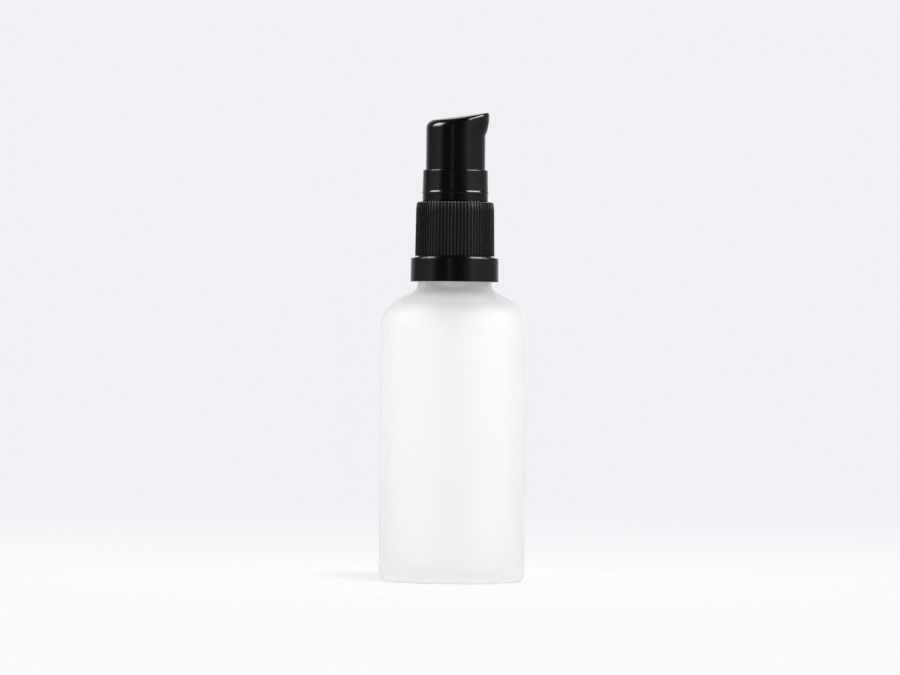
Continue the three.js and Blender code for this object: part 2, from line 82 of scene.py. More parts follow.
def rounded(corners, steps=4):
    """An outline from its corners, each (radius, height) or (radius, height, rounding)."""
    outline = []
    for i, corner in enumerate(corners):
        here = Vector(corner[:2])
        if len(corner) == 2:
            outline.append(tuple(here))
            continue
        back = (Vector(corners[i - 1][:2]) - here).normalized()
        ahead = (Vector(corners[(i + 1) % len(corners)][:2]) - here).normalized()
        half = back.angle(ahead) / 2
        centre = here + (back + ahead).normalized() * corner[2] / math.sin(half)
        run = corner[2] / math.tan(half)
        first = here + back * run - centre
        last = here + ahead * run - centre
        start = math.atan2(first.y, first.x)
        sweep = math.remainder(math.atan2(last.y, last.x) - start, TURN)
        for k in range(steps + 1):
            angle = start + sweep * k / steps
            outline.append((centre.x + corner[2] * math.cos(angle), centre.y + corner[2] * math.sin(angle)))
    return outline


def line(start, end, steps):
    """Points along a straight line, without its two ends."""
    shares = [i / steps for i in range(1, steps)]
    return [(start[0] + (end[0] - start[0]) * s, start[1] + (end[1] - start[1]) * s) for s in shares]


def smooth_step(value):
    """0 below 0, 1 above 1, and an eased rise between."""
    value = min(1.0, max(0.0, value))
    return value * value * (3 - 2 * value)


def mesh_object(name, points, faces, material):
    """A mesh object from points in mm, smoothly shaded but for its sharp edges."""
    mesh = bpy.data.meshes.new(name)
    mesh.from_pydata([tuple(c * MM for c in p) for p in points], [], faces)
    mesh.validate()
    mesh.shade_smooth()
    mesh.set_sharp_from_angle(angle=SHARP)
    mesh.materials.append(material)
    piece = bpy.data.objects.new(name, mesh)
    bpy.context.scene.collection.objects.link(piece)
    return piece


def held(rings, margin=0.08):
    """Adds points near both ends of every long straight stretch, which keeps the shading flat there."""
    first = [Vector(point) for point in rings[0]]
    long = [(first[i] - first[i - 1]).length > 6 * margin for i in range(len(first))]
    result = []
    for ring in rings:
        row = []
        for i, point in enumerate(ring):
            if long[i]:
                start, end = Vector(ring[i - 1]), Vector(point)
                step = (end - start).normalized() * margin
                row += [tuple(start + step), tuple(end - step)]
            row.append(point)
        result.append(row)
    return result


def turned(name, outline, columns, material):
    """A closed body about the Z axis. outline is a list of (radius, height), or a function of the angle
    that gives one. columns is how many angles, or their list. A point on the axis is one vertex."""
    angles = columns if isinstance(columns, list) else [TURN * i / columns for i in range(columns)]
    rings = held([outline(angle) if callable(outline) else outline for angle in angles])
    rows = len(rings[0])
    points = []
    poles = {}
    table = []
    for angle, ring in zip(angles, rings):
        row = []
        for j, (radius, height) in enumerate(ring):
            if radius < 1e-6 and j in poles:
                row.append(poles[j])
                continue
            row.append(len(points))
            points.append((radius * math.cos(angle), radius * math.sin(angle), height))
            if radius < 1e-6:
                poles[j] = row[-1]
        table.append(row)
    faces = []
    for i, here in enumerate(table):
        there = table[(i + 1) % len(table)]
        for j in range(rows):
            up = (j + 1) % rows
            loop = list(dict.fromkeys((here[j], there[j], there[up], here[up])))
            if len(loop) > 2:
                faces.append(loop)
    return mesh_object(name, points, faces, material)


def stands_for(piece, node):
    """piece takes the CAD node's place, on its body."""
    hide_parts(node)
    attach(piece, BODY_OF[node])
    return piece


def along_x(height):
    """Turns a piece made about the Z axis to lie along +X at a height in mm."""
    return Matrix.Translation((0, 0, height * MM)) @ Matrix.Rotation(math.pi / 2, 4, "Y")


def apply_boolean(piece, operation, tool):
    """Cuts or joins the tool's shape, then deletes the tool."""
    modifier = piece.modifiers.new(operation, "BOOLEAN")
    modifier.operation = operation
    modifier.solver = "EXACT"
    modifier.object = tool
    graph = bpy.context.evaluated_depsgraph_get()
    result = bpy.data.meshes.new_from_object(piece.evaluated_get(graph))
    piece.modifiers.clear()
    piece.data = result
    result.set_sharp_from_angle(angle=SHARP)
    bpy.data.objects.remove(tool)


# ---- Materials ------------------------------------------------------------------------------------

def new_material(name, color, roughness, **values):
    """A Principled material. values are its sockets by name, with spaces as underscores."""
    material = bpy.data.materials.new(name)
    material.use_nodes = True
    shader = material.node_tree.nodes["Principled BSDF"]
    shader.inputs["Base Color"].default_value = (*color, 1)
    shader.inputs["Roughness"].default_value = roughness
    for key, value in values.items():
        shader.inputs[key.replace("_", " ")].default_value = value
    return material


def noise(material, size_mm, detail=2.0, stretch=(1, 1, 1)):
    """A noise with features of about that size, in the piece's own space. Returns its Fac output."""
    nodes = material.node_tree.nodes
    links = material.node_tree.links
    place = nodes.new("ShaderNodeTexCoord")
    scale = nodes.new("ShaderNodeMapping")
    scale.inputs["Scale"].default_value = stretch
    texture = nodes.new("ShaderNodeTexNoise")
    texture.inputs["Scale"].default_value = 1 / (size_mm * MM)
    texture.inputs["Detail"].default_value = detail
    links.new(place.outputs["Object"], scale.inputs["Vector"])
    links.new(scale.outputs["Vector"], texture.inputs["Vector"])
    return texture.outputs["Fac"]


def vary(material, socket, source, low, high):
    """Drives a socket between two values by a noise."""
    spread = material.node_tree.nodes.new("ShaderNodeMapRange")
    spread.inputs["From Min"].default_value = 0.3
    spread.inputs["From Max"].default_value = 0.7
    spread.inputs["To Min"].default_value = low
    spread.inputs["To Max"].default_value = high
    links = material.node_tree.links
    links.new(source, spread.inputs["Value"])
    links.new(spread.outputs["Result"], material.node_tree.nodes["Principled BSDF"].inputs[socket])


def relief(material, sources):
    """Adds bumps, each (noise output, height in mm), one on top of another."""
    nodes = material.node_tree.nodes
    links = material.node_tree.links
    below = None
    for source, height in sources:
        bump = nodes.new("ShaderNodeBump")
        bump.inputs["Strength"].default_value = 1.0
        bump.inputs["Distance"].default_value = height * MM
        links.new(source, bump.inputs["Height"])
        if below:
            links.new(below, bump.inputs["Normal"])
        below = bump.outputs["Normal"]
    links.new(below, nodes["Principled BSDF"].inputs["Normal"])


def frosted_glass():
    """Acid-etched soda glass: milky, with an even fine grain."""
    material = new_material(
        "frosted_glass", (0.99, 0.99, 1.0), 0.64, IOR=1.5, Transmission_Weight=0.6, Specular_IOR_Level=0.08)
    vary(material, "Roughness", noise(material, 6.0), 0.61, 0.67)
    relief(material, [(noise(material, 0.25, detail=3.0), 0.012)])
    return material


def clear_glass():
    """The unfrosted inside, with the slight waviness of blown glass."""
    material = new_material("clear_glass", (1.0, 1.0, 1.0), 0.2, IOR=1.5, Transmission_Weight=1.0)
    relief(material, [(noise(material, 7.0), 0.02)])
    return material


def black_gloss():
    """Polished black polypropylene, with the faint unevenness of moulding."""
    material = new_material("black_gloss", (0.0027, 0.0025, 0.0025), 0.12, IOR=1.49)
    vary(material, "Roughness", noise(material, 3.0), 0.09, 0.15)
    relief(material, [(noise(material, 2.5), 0.003)])
    return material


def black_satin():
    """Moulded black polypropylene with a little less gloss."""
    material = new_material("black_satin", (0.0027, 0.0025, 0.0025), 0.15, IOR=1.49)
    vary(material, "Roughness", noise(material, 2.0), 0.13, 0.17)
    relief(material, [(noise(material, 0.6), 0.001)])
    return material


def black_matt():
    """Moulded black polypropylene with a fine dull grain."""
    material = new_material("black_matt", (0.0065, 0.006, 0.0065), 0.27, IOR=1.49)
    vary(material, "Roughness", noise(material, 1.5), 0.23, 0.31)
    relief(material, [(noise(material, 1.5), 0.001)])
    return material


def natural_plastic():
    """Uncoloured polypropylene, slightly translucent."""
    material = new_material(
        "natural_plastic", (0.88, 0.87, 0.84), 0.4, IOR=1.49, Subsurface_Weight=0.35, Subsurface_Scale=0.002,
        Subsurface_Radius=(1.0, 1.0, 1.0))
    vary(material, "Roughness", noise(material, 1.5), 0.34, 0.46)
    relief(material, [(noise(material, 0.3), 0.002)])
    return material


def soft_plastic():
    """Waxy polyethylene."""
    material = new_material(
        "soft_plastic", (0.9, 0.9, 0.88), 0.5, IOR=1.51, Subsurface_Weight=0.5, Subsurface_Scale=0.003,
        Subsurface_Radius=(1.0, 1.0, 1.0))
    vary(material, "Roughness", noise(material, 1.0), 0.42, 0.56)
    relief(material, [(noise(material, 0.4), 0.003)])
    return material


def tube_plastic():
    """The dip tube's translucent polyethylene, with the faint lengthwise lines of extrusion."""
    material = new_material("tube_plastic", (0.98, 0.98, 0.97), 0.2, IOR=1.51, Transmission_Weight=0.97)
    relief(material, [(noise(material, 0.3, stretch=(1, 1, 0.05)), 0.004)])
    return material


def steel():
    """Bright stainless steel with fine drawing marks."""
    material = new_material("steel", (0.72, 0.71, 0.7), 0.2, Metallic=1.0)
    vary(material, "Roughness", noise(material, 0.8), 0.14, 0.26)
    relief(material, [(noise(material, 0.08), 0.001)])
    return material


# ---- Glass bottle ---------------------------------------------------------------------------------

THREAD_PITCH = 3.0
THREAD_START = 84.6             # the glass ridge's height at angle 0, which is +X
THREAD_TURNS = 1.4
CLOSURE_THREAD_START = 86.5
CLOSURE_THREAD_TURNS = 1.25
THREAD_FADE = 9                 # each end of a ridge fades over one turn divided by this


def ridge(angle, height, start, turns, root_half, crest_half):
    """How far a helical ridge stands up at a point of its wall, from 0 to 1. It fades in and out."""
    along = (height - start) / THREAD_PITCH
    along = angle / TURN + round(along - angle / TURN)
    away = abs(height - start - THREAD_PITCH * along)
    flank = smooth_step((root_half - away) / (root_half - crest_half))
    ends = smooth_step(min(along, turns - along) * THREAD_FADE)
    return flank * ends


def glass_bottle(outer_material, inner_material):
    radius, _, rim = span("glass_bottle")
    foot_inside, push_up, heel = 14.2, 1.2, 2.0
    shoulder, wall_top, shoulder_turn = 8.0, 64.2, 63
    neck, neck_top, fillet, fillet_top = 9.38, 77.05, 2.5, 75.28
    groove, groove_bottom, groove_top = 8.6, 77.4, 78.6
    bead, bead_bottom, bead_top = 9.3, 79.0, 80.2
    root, crest, root_bottom, rim_rounding = 7.9, 8.75, 80.9, 0.6
    bore, bore_bottom = 6.0, 76.0
    inner, corner, floor, crown = 16.6, 3.4, 4.0, 0.5
    ticks, tick_height, tick_inside, tick_outside, tick_edge = 96, 0.12, 14.7, 16.0, 0.1
    screw_bottom, screw_step, screw_rows = 81.5, 0.13, 79
    root_half, crest_half = 0.75, 0.35
    slope = 90 - shoulder_turn
    columns = 3 * ticks

    underside = [(foot_inside * s / 10, push_up * (1 - (s / 10) ** 2)) for s in range(10)]
    outside = [
        *arc(radius - heel, heel, heel, -90, 0, 10),
        *line((radius, heel), (radius, wall_top), 12),
        *arc(radius - shoulder, wall_top, shoulder, 0, shoulder_turn, 20),
        *arc(neck + fillet, fillet_top, fillet, 270 - slope, 180, 10),
        *rounded([
            (neck, bore_bottom + 0.5), (neck, neck_top, 0.25), (groove, groove_bottom, 0.2),
            (groove, groove_top, 0.2), (bead, bead_bottom, 0.25), (bead, bead_top, 0.35),
            (root, root_bottom, 0.3), (root, screw_bottom),
        ])[:-1],
    ]
    thread_rows = [screw_bottom + screw_step * i for i in range(screw_rows)]
    inside = [
        *arc(root - rim_rounding, rim - rim_rounding, rim_rounding, 0, 90, 6),
        *arc(bore + rim_rounding, rim - rim_rounding, rim_rounding, 90, 180, 6),
        *line((bore, rim - rim_rounding), (bore, bore_bottom), 8),
        *arc(bore + fillet, bore_bottom, fillet, 180, 270 - slope, 8),
        *arc(radius - shoulder, wall_top, shoulder - (radius - inner), shoulder_turn, 0, 16),
        *line((inner, wall_top), (inner, floor + corner), 10),
        *arc(inner - corner, floor + corner, corner, 0, -90, 10),
        *[((inner - corner) * (1 - s / 6), floor + crown * (s / 6) ** 2) for s in range(1, 6)],
        (0, floor + crown),
    ]

    def outline(angle):
        tick = round(angle / TURN * columns) % 3 == 0
        lift = tick_height if tick else 0.0
        foot = [
            (foot_inside, 0), (tick_inside, 0), (tick_inside + tick_edge, lift),
            (tick_outside - tick_edge, lift), (tick_outside, 0),
        ]
        screw = []
        for z in thread_rows:
            share = ridge(angle, z, THREAD_START, THREAD_TURNS, root_half, crest_half)
            screw.append((root + (crest - root) * share, z))
        return underside + foot + outside + screw + inside

    bottle = turned("bottle_glass", outline, columns, outer_material)
    bottle.data.materials.append(inner_material)
    middle = Vector((0, 0, (floor + bore_bottom) / 2 * MM))
    for face in bottle.data.polygons:
        if face.center.z < bore_bottom * MM and face.normal.dot(face.center - middle) < 0:
            face.material_index = 1
    return stands_for(bottle, "glass_bottle")


# ---- Closure and tamper ring ----------------------------------------------------------------------

def near(angle, count, span_degrees, soft_degrees=0.6):
    """1 within the span of one of count places round the circle, 0 outside it, with soft edges."""
    step = 360 / count
    away = abs(math.remainder(math.degrees(angle), step))
    return smooth_step((span_degrees / 2 - away) / soft_degrees + 0.5)


def tamper_ring(material):
    radius, bottom, _ = span("tamper_ring")
    top, inside, flare, step_height = 81.8, 9.75, 0.05, 0.2
    lugs, lug_span, lug_reach, lug_bottom, lug_top = 8, 22, 8.95, 77.7, 78.4
    bridge_span, bridge_inside, bridge_outside, bridge_height = 4, 9.8, 10.15, 0.3
    columns = 480

    def outline(angle):
        lug = inside + (lug_reach - inside) * near(angle, lugs, lug_span)
        stub = top + step_height + (bridge_height - step_height) * near(angle, lugs, bridge_span)
        return rounded([
            (inside, bottom, 0.12), (radius, bottom, 0.1), (radius - flare, top, 0.2),
            (bridge_outside + 0.05, top), (bridge_outside, stub), (bridge_inside, stub), (inside, top, 0.02),
            (inside, lug_top + 0.3), (lug, lug_top), (lug, lug_bottom), (inside, lug_bottom - 0.1),
        ])

    return stands_for(turned("ring_band", outline, columns, material), "tamper_ring")


def ribbed_closure(material):
    _, _, top = span("ribbed_closure")
    bottom, roof_under, roof_outside, hole = 82.3, 95.05, 8.6, 6.3
    inside, lip_outside, lip_bottom, lip_edge = 9.0, 9.3, 81.0, 0.08
    tip_top, tip_bottom, edge, foot_edge = 9.9, 10.05, 0.45, 0.2
    under_ribs, under_fade = 0.42, 0.3
    lean, lean_height = 0.2, 2.2    # the wall's top part curves in by this much over this height
    ribs, depth, rib_half, rib_curve = 72, 0.3, 0.27, 2.2
    screw_end, screw_top, screw_step, screw_rows = 93.5, 91.6, 0.25, 33
    crest, root_half, crest_half = 8.1, 0.7, 0.3
    offsets = (-rib_half, -0.23, -0.18, -0.1, 0.0, 0.1, 0.18, 0.23, rib_half)
    angles = [TURN * (rib + offset) / ribs for rib in range(ribs) for offset in offsets]

    def valley(angle):
        """0 on a rib's crest and 1 in the flat valley between two."""
        away = abs(math.remainder(angle / TURN * ribs, 1))
        return min(1.0, (away / rib_half) ** rib_curve)

    def outline(angle):
        groove = depth * valley(angle)
        skirt_edge = [(lip_outside, bottom), (tip_bottom - under_ribs - groove * under_fade, bottom)]
        foot = arc(tip_bottom - foot_edge - groove, bottom + foot_edge, foot_edge, -90, 0, 3)
        wall = []
        for i in range(7):
            up = i / 6
            wall.append((tip_top - groove - lean * up * up, top - edge - lean_height * (1 - up)))
        shoulder = []
        for r, z in arc(tip_top - lean - edge, top - edge, edge, 5, 90, 6):
            fade = 1 - (z - (top - edge)) / edge
            shoulder.append((r - groove * fade, z))
        roof = rounded([
            (roof_outside, top), (hole, top, 0.15), (hole, roof_under, 0.1), (inside, roof_under),
            (inside, screw_end),
        ], 3)
        screw = []
        for i in range(screw_rows):
            z = screw_top - screw_step * i
            share = ridge(angle, z, CLOSURE_THREAD_START, CLOSURE_THREAD_TURNS, root_half, crest_half)
            screw.append((inside - (inside - crest) * share, z))
        lip = [
            (inside, lip_bottom + 0.1), (inside + 0.1, lip_bottom), (lip_outside - lip_edge, lip_bottom),
            (lip_outside, lip_bottom + lip_edge),
        ]
        return skirt_edge + foot + wall + shoulder + roof + screw + lip

    return stands_for(turned("closure_shell", outline, angles, material), "ribbed_closure")


def guide_collar(material):
    _, bottom, top = span("guide_collar")
    radius, inside, floor_top, hole = 8.3, 7.7, 96.75, 6.05
    bead_low, bead_middle, bead_turn, bead_size = 98.15, 98.3, 35, 0.7
    proud = bead_size * (1 - math.cos(math.radians(bead_turn)))
    bead = radius + proud
    lower = rounded([
        (hole, bottom), (radius, bottom, 0.3), (radius, bead_low, 0.03), (bead, bead_low + 0.05, 0.05),
        (bead, bead_middle),
    ])[:-1]
    upper = rounded([
        (radius, top, 0.27), (inside, top, 0.15), (inside, floor_top, 0.2), (hole, floor_top, 0.1),
    ])
    outline = lower + arc(bead - bead_size, bead_middle, bead_size, 0, bead_turn, 8) + upper
    return stands_for(turned("collar_sleeve", outline, 256, material), "guide_collar")


# ---- Pump engine ----------------------------------------------------------------------------------

def neck_gasket(material):
    radius, bottom, top = span("neck_gasket")
    hole = 4.9
    outline = rounded([
        (hole, bottom, 0.15), (radius, bottom, 0.2), (radius, top, 0.2), (hole, top, 0.15),
    ], 3)
    return stands_for(turned("gasket_washer", outline, 96, material), "neck_gasket")


def pump_housing(material):
    flange, bottom, top = span("pump_housing")
    flange_bottom, bore, barrel = 93.6, 3.6, 4.6
    tail, tail_top, taper_top = 2.5, 68.0, 71.0
    ledge, valve_bore, cone_top, cone_bottom, port = 72.1, 2.2, 70.35, 68.6, 1.0
    socket, socket_top = 1.55, 67.5
    vent, vent_height, vent_start, vent_end = 0.4, 90.0, 3.0, 5.2
    outline = rounded([
        (socket, bottom, 0.15), (tail, bottom, 0.2), (tail, tail_top, 0.4), (barrel, taper_top, 0.5),
        (barrel, flange_bottom, 0.2), (flange, flange_bottom, 0.15), (flange, top, 0.15), (bore, top, 0.2),
        (bore, ledge, 0.1), (valve_bore, ledge, 0.1), (valve_bore, cone_top, 0.1), (port, cone_bottom),
        (port, socket_top), (socket, socket_top),
    ])
    housing = turned("housing_barrel", outline, 96, material)
    vent_outline = [(0, vent_start), (vent, vent_start), (vent, vent_end), (0, vent_end)]
    vent_tool = turned("vent_tool", vent_outline, 24, material)
    vent_tool.matrix_world = along_x(vent_height)
    apply_boolean(housing, "DIFFERENCE", vent_tool)
    return stands_for(housing, "pump_housing")


def chaplet(material):
    flange, bottom, top = span("chaplet")
    hole, sleeve, flange_bottom, flange_top = 2.0, 3.55, 94.3, 95.0
    turret, turret_inside, boss, boss_top = 6.0, 5.2, 3.0, 97.0
    snap, snap_bottom, snap_full, snap_top = 6.25, 96.85, 96.95, 97.25
    outline = rounded([
        (hole, bottom, 0.1), (sleeve, bottom, 0.15), (sleeve, flange_bottom, 0.1),
        (flange, flange_bottom, 0.1), (flange, flange_top, 0.15), (turret, flange_top, 0.1),
        (turret, snap_bottom), (snap, snap_full, 0.05), (snap, snap_top, 0.1), (turret, top, 0.1),
        (turret_inside, top, 0.15), (turret_inside, flange_top, 0.2), (boss, flange_top, 0.2),
        (boss, boss_top, 0.15), (hole, boss_top, 0.15),
    ])
    return stands_for(turned("chaplet_guide", outline, 96, material), "chaplet")


def hollow_stem(material):
    _, bottom, top = span("stem")
    radius, bore, chamber = 1.9, 1.0, 1.4
    stop, stop_bottom, stop_top = 2.9, 89.45, 90.55
    seat_top, seat_bottom = 104.8, 104.2
    outline = rounded([
        (bore, bottom), (radius, bottom, 0.15), (radius, stop_bottom, 0.1), (stop, stop_bottom, 0.15),
        (stop, stop_top, 0.15), (radius, stop_top, 0.1), (radius, top, 0.2), (chamber, top, 0.1),
        (chamber, seat_top), (bore, seat_bottom),
    ])
    return stands_for(turned("stem_rod", outline, 64, material), "stem")


def piston_post(material):
    disc, bottom, top = span("piston_post")
    arm, arm_half, disc_top, edge = 0.95, 0.25, 84.8, 0.15

    def outline(angle):
        away = abs(math.remainder(angle, math.pi / 2))
        cross = min(arm, arm_half / max(math.sin(away), 1e-3))
        return [
            (0, bottom), (disc - edge, bottom), (disc, bottom + edge), (disc, disc_top - edge),
            (disc - edge, disc_top), (cross, disc_top), (cross, top - edge), (cross * 0.8, top), (0, top),
        ]

    return stands_for(turned("post_cross", outline, 96, material), "piston_post")


def piston_seal(material):
    lip, bottom, top = span("piston_seal")
    inside, end_outside, lip_wall, lip_depth = 1.97, 2.6, 0.3, 0.5
    waist, waist_bottom, waist_top, waist_slope = 2.9, 86.4, 87.8, 0.4
    outline = rounded([
        (inside, bottom), (end_outside, bottom), (waist, bottom + lip_depth, 0.1), (lip - lip_wall, bottom),
        (lip, bottom), (lip, waist_bottom, 0.2), (waist, waist_bottom + waist_slope, 0.2),
        (waist, waist_top - waist_slope, 0.2), (lip, waist_top, 0.2), (lip, top), (lip - lip_wall, top),
        (waist, top - lip_depth, 0.1), (end_outside, top), (inside, top),
    ])
    return stands_for(turned("seal_piston", outline, 96, material), "piston_seal")


def ball_cage(material):
    radius, bottom, top = span("ball_cage")
    hole, slots, slot_half, slot_reach = 0.9, 3, 0.5, 2.6
    slot_span = 2 * math.degrees(slot_half / slot_reach)

    def outline(angle):
        inner = hole + (slot_reach - hole) * near(angle, slots, slot_span, 3)
        return rounded([
            (inner, bottom, 0.05), (radius, bottom, 0.1), (radius, top, 0.1), (inner, top, 0.05),
        ], 2)

    return stands_for(turned("cage_washer", outline, 144, material), "ball_cage")


def valve_ball(name, node, material):
    radius, low, high = span(node)
    outline = arc(0, (low + high) / 2, radius, -90, 90, 24)
    return stands_for(turned(name, outline, 48, material), node)


def return_spring(material):
    """A wire swept along a helix whose ends are closely wound, with rounded wire ends."""
    _, bottom, top = span("return_spring")
    coil, wire, turns, end_turns, end_pitch = 2.7, 0.28, 7, 0.75, 0.62
    steps, sides, nudge = 48 * turns, 12, 1e-4
    end_sizes = (0.55, 0.85, 1.0)   # the wire's thickness at its end ring and the next two, as shares
    low, high = bottom + wire, top - wire
    end_rise = end_pitch * end_turns
    share = end_turns / turns

    def place(t):
        if t < share:
            height = low + end_rise * t / share
        elif t > 1 - share:
            height = high - end_rise * (1 - t) / share
        else:
            height = low + end_rise + (high - low - 2 * end_rise) * (t - share) / (1 - 2 * share)
        angle = TURN * turns * t
        return Vector((coil * math.cos(angle), coil * math.sin(angle), height))

    points = []
    for i in range(steps + 1):
        t = i / steps
        ahead = (place(min(1, t + nudge)) - place(max(0, t - nudge))).normalized()
        out = Vector((place(t).x, place(t).y, 0)).normalized()
        across = ahead.cross(out)
        end = min(i, steps - i)
        size = wire * end_sizes[min(end, 2)]
        for k in range(sides):
            angle = TURN * k / sides
            points.append(tuple(place(t) + (out * math.cos(angle) + across * math.sin(angle)) * size))
    faces = []
    for i in range(steps):
        for k in range(sides):
            a = i * sides + k
            b = i * sides + (k + 1) % sides
            faces.append((a, a + sides, b + sides, b))
    faces.append(tuple(range(sides)))
    faces.append(tuple(reversed(range(steps * sides, (steps + 1) * sides))))
    spring = mesh_object("spring_coil", points, faces, material)
    stands_for(spring, "return_spring")
    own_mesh(spring)
    return spring


def dip_tube(material):
    radius, bottom, top = span("dip_tube")
    bore, cut, wall_start = 1.0, 1.5, 8.0

    def outline(angle):
        lean = cut / (2 * radius) * math.cos(angle)
        middle = bottom + cut / 2
        return [
            (bore, middle + lean * bore), (radius, middle + lean * radius),
            *line((radius, wall_start), (radius, top), 4), (radius, top), (bore, top),
        ]

    return stands_for(turned("tube_dip", outline, 48, material), "dip_tube")


# ---- Actuator -------------------------------------------------------------------------------------

HEAD_RADIUS = span("actuator")[0]
NOSE_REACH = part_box("actuator")[1].x / MM
NOSE_RADIUS = 6.7
NOSE_BOTTOM = 112.9
NOSE_FULL = 116.7
NOSE_RISE = 1.8                 # how much higher the nose starts at the sides than in front
NOSE_CURVE = 1.8                # how fast the nose grows at first: 1 would be evenly
CHANNEL_HEIGHT = 115.6
TOP_HEIGHT = 117.6              # on the axis
TOP_SLANT = 0.14                # rise per millimetre towards the nose
TOP_CROWN = 31.0                # radius of the top's curve from side to side


def top_height(reach, angle):
    """The slanted top, crowned from side to side."""
    crown = (reach * math.sin(angle)) ** 2 / (2 * TOP_CROWN)
    return TOP_HEIGHT + TOP_SLANT * reach * math.cos(angle) - crown


def head_reach(angle, height):
    """The wall's distance from the axis. Towards the top, the wall's outline grows into the hull of two
    circles: its own, and a slightly smaller one that is ahead of it and forms the nose."""
    angle = abs(math.remainder(angle, TURN))
    start = NOSE_BOTTOM + NOSE_RISE * (1 - math.cos(angle))
    share = min(1.0, max(0.0, (height - start) / (NOSE_FULL - start)))
    growth = 1 - (1 - share) ** NOSE_CURVE
    radius = HEAD_RADIUS + (NOSE_RADIUS - HEAD_RADIUS) * growth
    centre = (NOSE_REACH - NOSE_RADIUS) * growth
    tangent = math.acos((HEAD_RADIUS - NOSE_RADIUS) / (NOSE_REACH - NOSE_RADIUS))
    if angle >= tangent:
        return HEAD_RADIUS
    if angle >= math.atan2(radius * math.sin(tangent), centre + radius * math.cos(tangent)):
        return HEAD_RADIUS / math.cos(tangent - angle)
    return centre * math.cos(angle) + math.sqrt(radius ** 2 - (centre * math.sin(angle)) ** 2)


def actuator(material):
    bottom = span("actuator")[1]
    inside, roof, foot_edge = 6.65, 1.2, 0.15
    edge_back, edge_front = 1.8, 0.5
    wall_steps, rim_steps, face_steps = 22, 10, 12
    socket, socket_bore, socket_bottom, socket_top = 3.0, 1.95, 103.6, 108.1
    riser, riser_top = 1.1, 116.0
    channel, channel_wall, channel_wall_end, channel_drop = 0.8, 1.8, 7.0, 0.6
    mouth, mouth_start, mouth_end = 1.27, 6.2, 9.5
    wall_rows = (106.0, 109.5, NOSE_BOTTOM - 0.05)      # extra rows of points, which keep long walls even
    socket_row, inside_row = 112.0, 110.0

    def outline(angle):
        rounding = (edge_back + edge_front) / 2 - (edge_back - edge_front) / 2 * math.cos(angle)
        wall_top = top_height(HEAD_RADIUS, angle) - rounding
        under = top_height(inside, angle) - roof
        wall = [(HEAD_RADIUS - foot_edge, bottom), (HEAD_RADIUS, bottom + foot_edge)]
        wall += [(HEAD_RADIUS, height) for height in wall_rows]
        for i in range(1, wall_steps + 1):
            height = NOSE_BOTTOM + (wall_top - NOSE_BOTTOM) * i / wall_steps
            wall.append((head_reach(angle, height), height))
        edge_reach = head_reach(angle, wall_top)
        rim = []
        for i in range(1, rim_steps + 1):
            turn = math.pi / 2 * i / rim_steps
            reach = edge_reach - rounding * (1 - math.cos(turn))
            rise = top_height(reach, angle) - top_height(HEAD_RADIUS, angle)
            rim.append((reach, wall_top + rounding * math.sin(turn) + rise * math.sin(turn)))
        face = []
        for i in range(1, face_steps):
            reach = (edge_reach - rounding) * (1 - i / face_steps)
            face.append((reach, top_height(reach, angle)))
        socket_roof = top_height(socket, angle) - roof
        hollow = [
            (0, riser_top), (riser, riser_top), (riser, socket_top), (socket_bore, socket_top),
            (socket_bore, socket_bottom + 0.15), (socket_bore + 0.15, socket_bottom),
            (socket - 0.15, socket_bottom), (socket, socket_bottom + 0.15), (socket, socket_row),
            (socket, socket_roof - 0.2), (socket + 0.2, socket_roof), (inside - 0.25, under),
            (inside, under - 0.25), (inside, inside_row), (inside, bottom + 0.1), (inside + 0.1, bottom),
        ]
        return hollow + wall + rim + face + [(0, top_height(0, angle))]

    head = turned("actuator_head", outline, 192, material)
    wall_outline = [(0, 0), (channel_wall, 0), (channel_wall, channel_wall_end), (0, channel_wall_end)]
    wall_tool = turned("channel_tool", wall_outline, 48, material)
    wall_tool.matrix_world = along_x(CHANNEL_HEIGHT - channel_drop)
    apply_boolean(head, "UNION", wall_tool)
    bore_outline = [
        (0, 0), (channel, 0), (channel, mouth_start), (mouth, mouth_start), (mouth, mouth_end),
        (0, mouth_end),
    ]
    bore_tool = turned("bore_tool", bore_outline, 48, material)
    bore_tool.matrix_world = along_x(CHANNEL_HEIGHT)
    apply_boolean(head, "DIFFERENCE", bore_tool)
    return stands_for(head, "actuator")


def nozzle_insert(material):
    low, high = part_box("nozzle_insert")
    radius, back, front = high.y / MM, low.x / MM, high.x / MM
    orifice, cup, cup_depth = 0.4, 0.8, 0.9
    outline = rounded([
        (orifice, back), (radius, back, 0.15), (radius, front, 0.12), (cup, front, 0.1),
        (orifice, front - cup_depth),
    ])
    insert = turned("nozzle_bush", outline, 48, material)
    insert.data.transform(along_x(CHANNEL_HEIGHT))
    return stands_for(insert, "nozzle_insert")


# ---- Studio ---------------------------------------------------------------------------------------

BACKDROP = (0.885, 0.868, 0.915)
TABLE = (0.955, 0.955, 0.96)
FLOOR_COLOR = (0.3, 0.3, 0.3)
FLOOR_GLOW = (0.62, 0.62, 0.625)

# How bright the room is in reflections at eye level: (degrees to the right of the camera's side,
# brightness). Panels stand left and right, a narrow gap is lit near the camera, and the backdrop is behind.
ROOM = (
    (-180, 0.85), (-165, 0.7), (-150, 0.5), (-134, 0.3), (-122, 0.12), (-90, 0.2), (-64, 0.4), (-57, 0.3),
    (-46, 0.03), (-22, 0.03), (-13, 0.32), (-4, 0.03), (14, 0.03), (34, 0.16), (50, 0.5), (62, 0.38),
    (90, 0.28), (125, 0.22), (138, 0.3), (150, 0.5), (165, 0.7), (180, 0.85),
)
